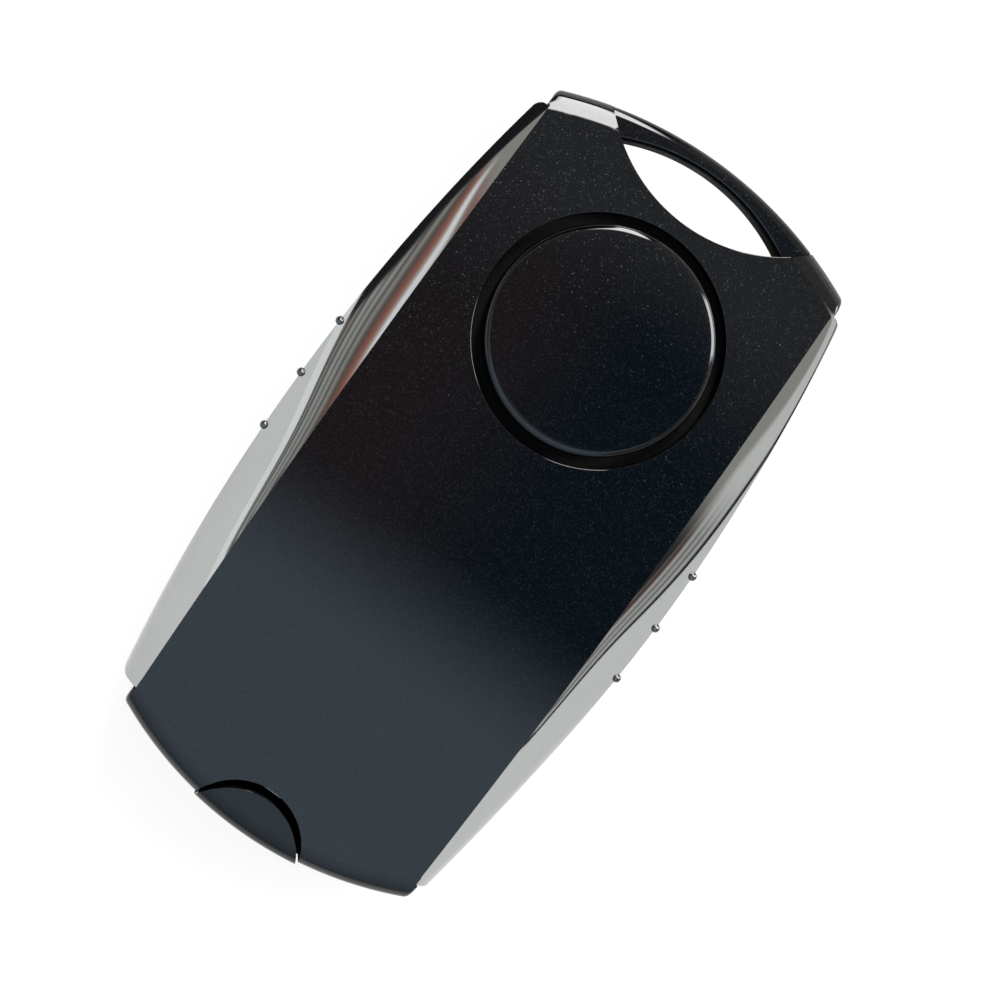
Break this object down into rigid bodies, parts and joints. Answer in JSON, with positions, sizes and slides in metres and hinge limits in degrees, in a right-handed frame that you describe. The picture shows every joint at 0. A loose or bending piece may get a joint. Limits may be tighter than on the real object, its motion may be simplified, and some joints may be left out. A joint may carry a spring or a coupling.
{
  "type": "personal safety alarm",
  "caption": "Pocket personal safety alarm: glossy black case with a large press button, chrome side rails, a lanyard bail and a hinged charging-port cover.",
  "frame": {"origin": "on the resting plane, under the middle of the case's bounding box", "axes": "+Z out of the button face, +Y along the length towards the lanyard bail, +X to the right"},
  "size_m": [0.0428, 0.0782, 0.0167],
  "materials": {
    "flake_paint": "glossy black lacquer with fine silver flake",
    "port_paint": "glossy black lacquer, smoother, with sparse flake",
    "rail_chrome": "bright chrome plate",
    "silicone": "soft translucent grey silicone",
    "switch_case": "moulded black nylon",
    "switch_stem": "moulded off-white acetal",
    "tinned_metal": "tinned strip",
    "screw_steel": "plain steel",
    "socket_steel": "drawn steel shell",
    "socket_black": "moulded black tongue",
    "board_green": "green solder mask on glass laminate",
    "chamber_black": "moulded black cup",
    "brass_disc": "rolled brass",
    "piezo_ceramic": "silvered ceramic",
    "gasket_rubber": "soft black rubber",
    "mesh_black": "fine black acoustic cloth",
    "battery_foil": "matt pouch foil",
    "pad_foam": "dark foam tape",
    "lead_sleeve": "red insulating sleeve",
    "chip_black": "black moulded package",
    "ferrite": "dark ferrite",
    "copper_wire": "enamelled copper wire",
    "capacitor_can": "drawn can",
    "capacitor_tan": "tan ceramic block",
    "resistor_black": "black film resistor",
    "light_lens": "milky light package"
  },
  "bodies": {
    "case": {"rear_shell": "flake_paint", "front_cover": "flake_paint", "right_rail": "rail_chrome", "left_rail": "rail_chrome", "button_membrane": "silicone", "tact_switch": "switch_case", "switch_terminals": "tinned_metal", "circuit_board": "board_green", "board_screws": "screw_steel", "case_screws": "screw_steel", "port_hinge_pin": "screw_steel", "charging_socket": "socket_steel", "socket_tongue": "socket_black", "siren_chamber": "chamber_black", "siren_diaphragm": "brass_disc", "siren_ceramic": "piezo_ceramic", "siren_gasket": "gasket_rubber", "siren_contacts": "tinned_metal", "sound_mesh": "mesh_black", "battery_cell": "battery_foil", "battery_pad": "pad_foam", "battery_leads": "lead_sleeve", "controller_chip": "chip_black", "controller_pins": "tinned_metal", "charger_chip": "chip_black", "siren_driver": "chip_black", "coil_core": "ferrite", "coil_winding": "copper_wire", "storage_capacitor": "capacitor_can", "chip_capacitors": "capacitor_tan", "chip_resistors": "resistor_black", "charge_light": "light_lens"},
    "button": {"alarm_button": "flake_paint"},
    "plunger": {"switch_plunger": "switch_stem"},
    "port_flap": {"port_cover": "port_paint"}
  },
  "joints": [
    {"name": "alarm_press", "type": "slide", "parent": "case", "child": "button", "axis": [0, 0, -1], "range_m": [0, 0.0006], "stiffness_N_per_m": 3000, "springref_m": -0.0003, "deforming": ["button_membrane"]},
    {"name": "switch_press", "type": "slide", "parent": "case", "child": "plunger", "axis": [0, 0, -1], "range_m": [0, 0.0006]},
    {"name": "port_cover_hinge", "type": "hinge", "parent": "case", "child": "port_flap", "pos_m": [0, -0.03805, 0.0074], "axis": [1, 0, 0], "range_deg": [0, 95]}
  ],
  "couplings": [
    {"joint": "switch_press", "follows": "alarm_press", "ratio": 1}
  ]
}
